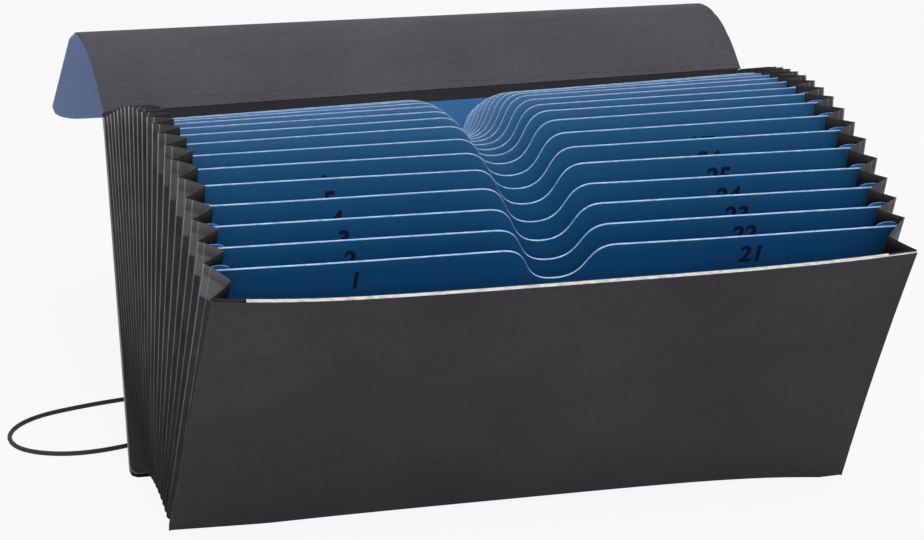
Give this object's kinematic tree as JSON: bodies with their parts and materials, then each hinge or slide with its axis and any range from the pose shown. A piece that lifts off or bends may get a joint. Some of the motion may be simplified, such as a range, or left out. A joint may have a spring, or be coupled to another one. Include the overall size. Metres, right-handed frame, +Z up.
{
  "type": "accordion file folder",
  "caption": "Open expanding file: fan of notched blue dividers between two stiff dark panels, pleated black gussets, a folded-back flap and an elastic loop.",
  "frame": {"origin": "under the middle of the file's box, on the floor, the elastic left out", "axes": "+X to the right across the file, +Y from the front panel to the flap, +Z up"},
  "size_m": [0.4501, 0.5232, 0.2187],
  "materials": {
    "board": "pale pressed board, matte cut edges",
    "cover": "dark grey embossed cover paper, satin",
    "divider": "blue card, matte",
    "gusset": "black gusset paper with worn pale creases",
    "elastic": "black braided elastic"
  },
  "bodies": {
    "back": {"back_board": "board", "back_lining": "divider", "back_cover": "cover", "elastic_cord": "elastic"},
    "leaf_20": {"pleat_21": "gusset", "divider_20": "divider"},
    "leaf_19": {"pleat_20": "gusset", "divider_19": "divider"},
    "leaf_18": {"pleat_19": "gusset", "divider_18": "divider"},
    "leaf_17": {"pleat_18": "gusset", "divider_17": "divider"},
    "leaf_16": {"pleat_17": "gusset", "divider_16": "divider"},
    "leaf_15": {"pleat_16": "gusset", "divider_15": "divider"},
    "leaf_14": {"pleat_15": "gusset", "divider_14": "divider"},
    "leaf_13": {"pleat_14": "gusset", "divider_13": "divider"},
    "leaf_12": {"pleat_13": "gusset", "divider_12": "divider"},
    "leaf_11": {"pleat_12": "gusset", "divider_11": "divider"},
    "leaf_10": {"pleat_11": "gusset", "divider_10": "divider"},
    "leaf_09": {"pleat_10": "gusset", "divider_09": "divider"},
    "leaf_08": {"pleat_09": "gusset", "divider_08": "divider"},
    "leaf_07": {"pleat_08": "gusset", "divider_07": "divider"},
    "leaf_06": {"pleat_07": "gusset", "divider_06": "divider"},
    "leaf_05": {"pleat_06": "gusset", "divider_05": "divider"},
    "leaf_04": {"pleat_05": "gusset", "divider_04": "divider"},
    "leaf_03": {"pleat_04": "gusset", "divider_03": "divider"},
    "leaf_02": {"pleat_03": "gusset", "divider_02": "divider"},
    "leaf_01": {"pleat_02": "gusset", "divider_01": "divider"},
    "front": {"pleat_01": "gusset", "front_board": "board", "front_cover": "cover"},
    "flap_riser": {"flap_riser": "cover"},
    "flap_tip": {"flap_tip": "cover"}
  },
  "joints": [
    {"name": "pocket_21_close", "type": "hinge", "parent": "back", "child": "leaf_20", "pos_m": [0, -0.10238, -0.06424], "axis": [-1, 0, 0], "range_deg": [0, 1.45], "deforming": ["pleat_21"]},
    {"name": "pocket_20_close", "type": "hinge", "parent": "leaf_20", "child": "leaf_19", "pos_m": [0, -0.10238, -0.06424], "axis": [-1, 0, 0], "range_deg": [0, 1.57], "deforming": ["pleat_20"]},
    {"name": "pocket_19_close", "type": "hinge", "parent": "leaf_19", "child": "leaf_18", "pos_m": [0, -0.10238, -0.06424], "axis": [-1, 0, 0], "range_deg": [0, 1.67], "deforming": ["pleat_19"]},
    {"name": "pocket_18_close", "type": "hinge", "parent": "leaf_18", "child": "leaf_17", "pos_m": [0, -0.10238, -0.06424], "axis": [-1, 0, 0], "range_deg": [0, 1.67], "deforming": ["pleat_18"]},
    {"name": "pocket_17_close", "type": "hinge", "parent": "leaf_17", "child": "leaf_16", "pos_m": [0, -0.10238, -0.06424], "axis": [-1, 0, 0], "range_deg": [0, 1.77], "deforming": ["pleat_17"]},
    {"name": "pocket_16_close", "type": "hinge", "parent": "leaf_16", "child": "leaf_15", "pos_m": [0, -0.10238, -0.06424], "axis": [-1, 0, 0], "range_deg": [0, 1.77], "deforming": ["pleat_16"]},
    {"name": "pocket_15_close", "type": "hinge", "parent": "leaf_15", "child": "leaf_14", "pos_m": [0, -0.10238, -0.06424], "axis": [-1, 0, 0], "range_deg": [0, 1.87], "deforming": ["pleat_15"]},
    {"name": "pocket_14_close", "type": "hinge", "parent": "leaf_14", "child": "leaf_13", "pos_m": [0, -0.10238, -0.06424], "axis": [-1, 0, 0], "range_deg": [0, 1.97], "deforming": ["pleat_14"]},
    {"name": "pocket_13_close", "type": "hinge", "parent": "leaf_13", "child": "leaf_12", "pos_m": [0, -0.10238, -0.06424], "axis": [-1, 0, 0], "range_deg": [0, 2.07], "deforming": ["pleat_13"]},
    {"name": "pocket_12_close", "type": "hinge", "parent": "leaf_12", "child": "leaf_11", "pos_m": [0, -0.10238, -0.06424], "axis": [-1, 0, 0], "range_deg": [0, 2.17], "deforming": ["pleat_12"]},
    {"name": "pocket_11_close", "type": "hinge", "parent": "leaf_11", "child": "leaf_10", "pos_m": [0, -0.10238, -0.06424], "axis": [-1, 0, 0], "range_deg": [0, 2.37], "deforming": ["pleat_11"]},
    {"name": "pocket_10_close", "type": "hinge", "parent": "leaf_10", "child": "leaf_09", "pos_m": [0, -0.10238, -0.06424], "axis": [-1, 0, 0], "range_deg": [0, 2.47], "deforming": ["pleat_10"]},
    {"name": "pocket_09_close", "type": "hinge", "parent": "leaf_09", "child": "leaf_08", "pos_m": [0, -0.10238, -0.06424], "axis": [-1, 0, 0], "range_deg": [0, 2.68], "deforming": ["pleat_09"]},
    {"name": "pocket_08_close", "type": "hinge", "parent": "leaf_08", "child": "leaf_07", "pos_m": [0, -0.10238, -0.06424], "axis": [-1, 0, 0], "range_deg": [0, 3.08], "deforming": ["pleat_08"]},
    {"name": "pocket_07_close", "type": "hinge", "parent": "leaf_07", "child": "leaf_06", "pos_m": [0, -0.10238, -0.06424], "axis": [-1, 0, 0], "range_deg": [0, 2.98], "deforming": ["pleat_07"]},
    {"name": "pocket_06_close", "type": "hinge", "parent": "leaf_06", "child": "leaf_05", "pos_m": [0, -0.10238, -0.06424], "axis": [-1, 0, 0], "range_deg": [0, 3.18], "deforming": ["pleat_06"]},
    {"name": "pocket_05_close", "type": "hinge", "parent": "leaf_05", "child": "leaf_04", "pos_m": [0, -0.10238, -0.06424], "axis": [-1, 0, 0], "range_deg": [0, 3.28], "deforming": ["pleat_05"]},
    {"name": "pocket_04_close", "type": "hinge", "parent": "leaf_04", "child": "leaf_03", "pos_m": [0, -0.10238, -0.06424], "axis": [-1, 0, 0], "range_deg": [0, 2.98], "deforming": ["pleat_04"]},
    {"name": "pocket_03_close", "type": "hinge", "parent": "leaf_03", "child": "leaf_02", "pos_m": [0, -0.10238, -0.06424], "axis": [-1, 0, 0], "range_deg": [0, 2.68], "deforming": ["pleat_03"]},
    {"name": "pocket_02_close", "type": "hinge", "parent": "leaf_02", "child": "leaf_01", "pos_m": [0, -0.10238, -0.06424], "axis": [-1, 0, 0], "range_deg": [0, 2.47], "deforming": ["pleat_02"]},
    {"name": "pocket_01_close", "type": "hinge", "parent": "leaf_01", "child": "front", "pos_m": [0, -0.10238, -0.06424], "axis": [-1, 0, 0], "range_deg": [0, 4.09], "deforming": ["pleat_01"]},
    {"name": "flap_fold", "type": "hinge", "parent": "back", "child": "flap_riser", "pos_m": [0, 0.05168, 0.18598], "axis": [1, 0, 0], "range_deg": [0, 85]},
    {"name": "flap_tip_fold", "type": "hinge", "parent": "flap_riser", "child": "flap_tip", "pos_m": [0, 0.14548, 0.20719], "axis": [1, 0, 0], "range_deg": [0, 120]}
  ],
  "couplings": [
    {"joint": "pocket_20_close", "follows": "pocket_21_close", "ratio": 1.069},
    {"joint": "pocket_19_close", "follows": "pocket_21_close", "ratio": 1.1379},
    {"joint": "pocket_18_close", "follows": "pocket_21_close", "ratio": 1.1379},
    {"joint": "pocket_17_close", "follows": "pocket_21_close", "ratio": 1.2069},
    {"joint": "pocket_16_close", "follows": "pocket_21_close", "ratio": 1.2069},
    {"joint": "pocket_15_close", "follows": "pocket_21_close", "ratio": 1.2759},
    {"joint": "pocket_14_close", "follows": "pocket_21_close", "ratio": 1.3448},
    {"joint": "pocket_13_close", "follows": "pocket_21_close", "ratio": 1.4138},
    {"joint": "pocket_12_close", "follows": "pocket_21_close", "ratio": 1.4828},
    {"joint": "pocket_11_close", "follows": "pocket_21_close", "ratio": 1.6207},
    {"joint": "pocket_10_close", "follows": "pocket_21_close", "ratio": 1.6897},
    {"joint": "pocket_09_close", "follows": "pocket_21_close", "ratio": 1.8276},
    {"joint": "pocket_08_close", "follows": "pocket_21_close", "ratio": 2.1034},
    {"joint": "pocket_07_close", "follows": "pocket_21_close", "ratio": 2.0345},
    {"joint": "pocket_06_close", "follows": "pocket_21_close", "ratio": 2.1724},
    {"joint": "pocket_05_close", "follows": "pocket_21_close", "ratio": 2.2414},
    {"joint": "pocket_04_close", "follows": "pocket_21_close", "ratio": 2.0345},
    {"joint": "pocket_03_close", "follows": "pocket_21_close", "ratio": 1.8276},
    {"joint": "pocket_02_close", "follows": "pocket_21_close", "ratio": 1.6897},
    {"joint": "pocket_01_close", "follows": "pocket_21_close", "ratio": 2.7931}
  ]
}
